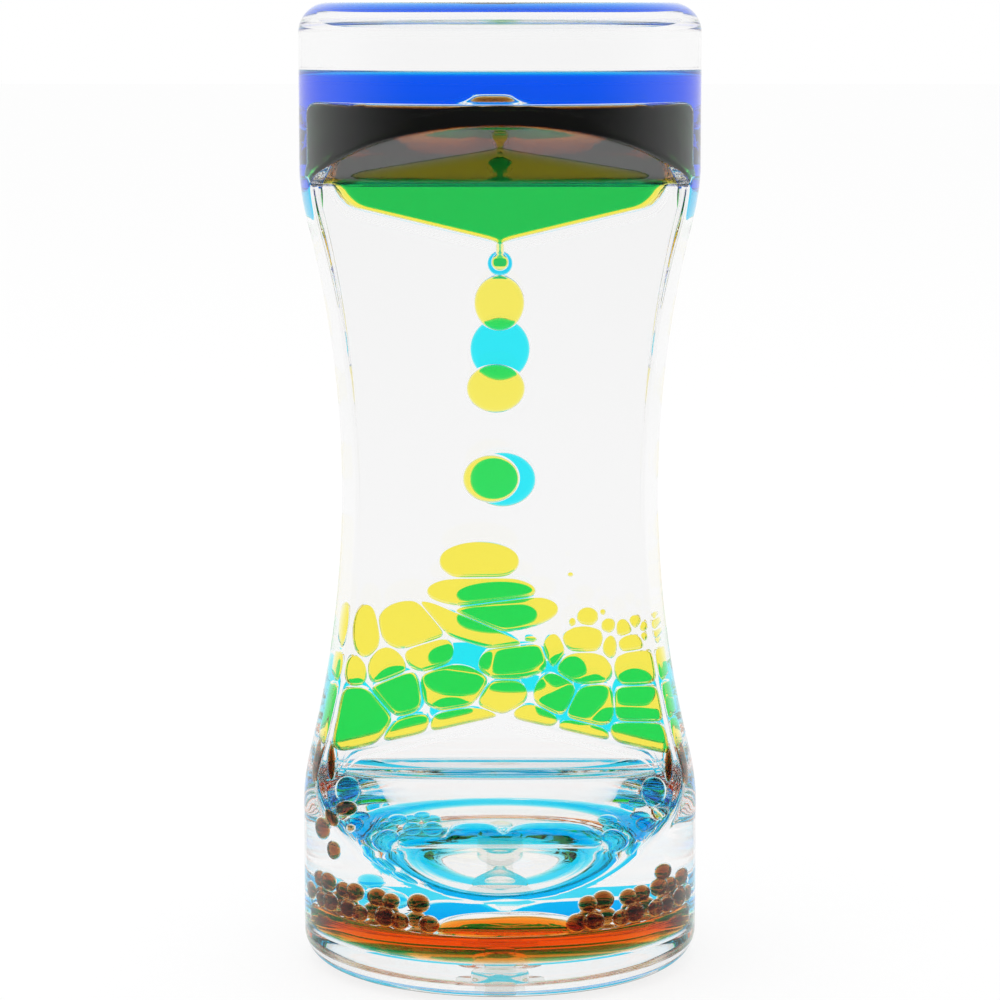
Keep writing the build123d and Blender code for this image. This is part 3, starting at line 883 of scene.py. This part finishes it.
# %% [markdown]
# Beads are small balls pressed a little by their own weight. Their places follow the tank wall or the
# middle wall, row on row, and their sizes differ a little by a fixed rule.

# %% Beads on the pools
bead_flat = 0.88
bead_size = 1.52


def add_bead(bm, x, y, z, r, tall=bead_flat, deep=1.0):
    """One bead as a slightly flattened ball."""
    ball = bmesh.new()
    bmesh.ops.create_uvsphere(ball, u_segments=28, v_segments=18, radius=r)
    bmesh.ops.scale(ball, verts=ball.verts[:], vec=(1.0, deep, tall))
    bmesh.ops.translate(ball, verts=ball.verts[:], vec=(x, y, z))
    gather(bm, ball)


# Radius of each row's outer side, height of its base, first and last angle, and number of beads on a side.
bead_rows = ((25.9, 9.0, 24.0, 81.0, 8), (22.4, 9.0, 32.0, 80.0, 6), (24.5, 11.5, 29.0, 78.0, 7))
bm = bmesh.new()
for ring, base, first, last, count in bead_rows:
    for hand in (-1, 1):
        for k in range(count):
            turn = radians(first + (last - first) * (k + 0.16 * sin(3.1 * k + hand)) / (count - 1))
            r = bead_size * (1.0 + 0.09 * sin(2.3 * k + 1.7 * hand + first))
            add_bead(bm, hand * (ring - r) * sin(turn), -(ring - r) * cos(turn), base + bead_flat * r, r)
# The beads take the darker copy of the yellow water, which is painted shade.
finish_piece("yellow_bead_rows", bm, [shaded_yellow], "vessel", ["yellow_beads"])

blue_beads = [
    (-10.0, 5.0, 7.5, 1.6), (-13.0, 5.2, 7.5, 1.45), (-16.6, 5.4, 5.2, 1.7), (-10.2, 8.8, 7.5, 1.5),
    (-13.2, 8.9, 7.5, 1.5), (-16.8, 9.0, 5.2, 1.6), (-11.6, 6.9, 10.1, 1.3), (-15.2, 7.0, 8.7, 1.5),
    (16.7, 5.2, 5.2, 1.8), (16.9, 9.0, 5.2, 1.7), (16.0, 7.0, 8.6, 1.5), (-21.8, 6.0, 7.9, 1.6),
    (-21.0, 9.6, 7.9, 1.6), (21.8, 6.0, 7.9, 1.7), (21.0, 9.8, 7.9, 1.6),
]
bm = bmesh.new()
for x, y, base, r in blue_beads:
    add_bead(bm, x, y, base + bead_flat * r, r)
finish_piece("blue_bead_rows", bm, [deep_blue], "vessel", ["blue_beads"])

# %% [markdown]
# Some liquid is still on its way: it squeezes through the side slots and runs down the wall of the lower
# tank as single drops in front and as longer streaks behind.

# %% Runoff
yellow_run = [
    (-22.4, -6.4, 20.6, 1.7, 1.0, 1.0), (-22.0, -11.4, 18.4, 1.4, 1.0, 1.0),
    (21.6, -12.0, 15.4, 1.7, 0.75, 1.0), (-24.6, -5.0, 29.6, 0.75, 4.4, 2.4),
    (24.6, -5.0, 29.2, 0.75, 4.4, 2.4),
]
blue_run = [
    (-22.6, 6.6, 19.4, 2.0, 2.2, 1.3), (22.8, 6.6, 19.0, 2.0, 2.3, 1.3),
    (20.6, 10.0, 13.6, 1.5, 1.0, 1.0), (-24.6, 5.0, 29.4, 0.75, 4.2, 2.4),
    (24.6, 5.0, 29.0, 0.75, 4.2, 2.4),
]


def runoff(name, node, drops, water):
    """Drops on the wall: middle, radius, and how much taller and deeper than a ball each one is."""
    bm = bmesh.new()
    for x, y, z, r, tall, deep in drops:
        add_bead(bm, x, y, z, r, tall, deep)
    finish_piece(name, bm, [water], "vessel", [node])


# The yellow runoff drops take the darker copy of the yellow water, which is painted shade.
runoff("yellow_run_drops", "yellow_runoff", yellow_run, shaded_yellow)
runoff("blue_run_streaks", "blue_runoff", blue_run, deep_blue)
